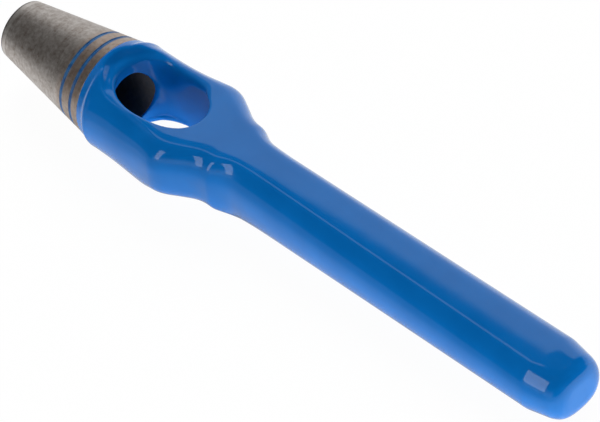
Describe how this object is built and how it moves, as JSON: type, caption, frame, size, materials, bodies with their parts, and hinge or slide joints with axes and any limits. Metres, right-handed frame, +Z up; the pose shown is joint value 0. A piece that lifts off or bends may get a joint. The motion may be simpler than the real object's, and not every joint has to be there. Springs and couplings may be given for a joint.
{
  "type": "hollow punch",
  "caption": "Struck hollow punch with a ground cutting cone, a through bore, an oval eye that frees the slugs, and a lacquered shank with flats.",
  "frame": {"origin": "midway along the tool, on its centre plane, level with its lowest point under the cone's back end", "axes": "+X from the cutting edge to the struck end, +Z up through the eye, +Y to the side"},
  "size_m": [0.11, 0.0184, 0.0158],
  "materials": {
    "steel": "ground, slightly mottled",
    "lacquer": "gloss dip lacquer"
  },
  "bodies": {
    "root": {"punch_body": "steel", "handle_lacquer": "lacquer", "front_groove_paint": "lacquer", "rear_groove_paint": "lacquer"}
  },
  "joints": []
}
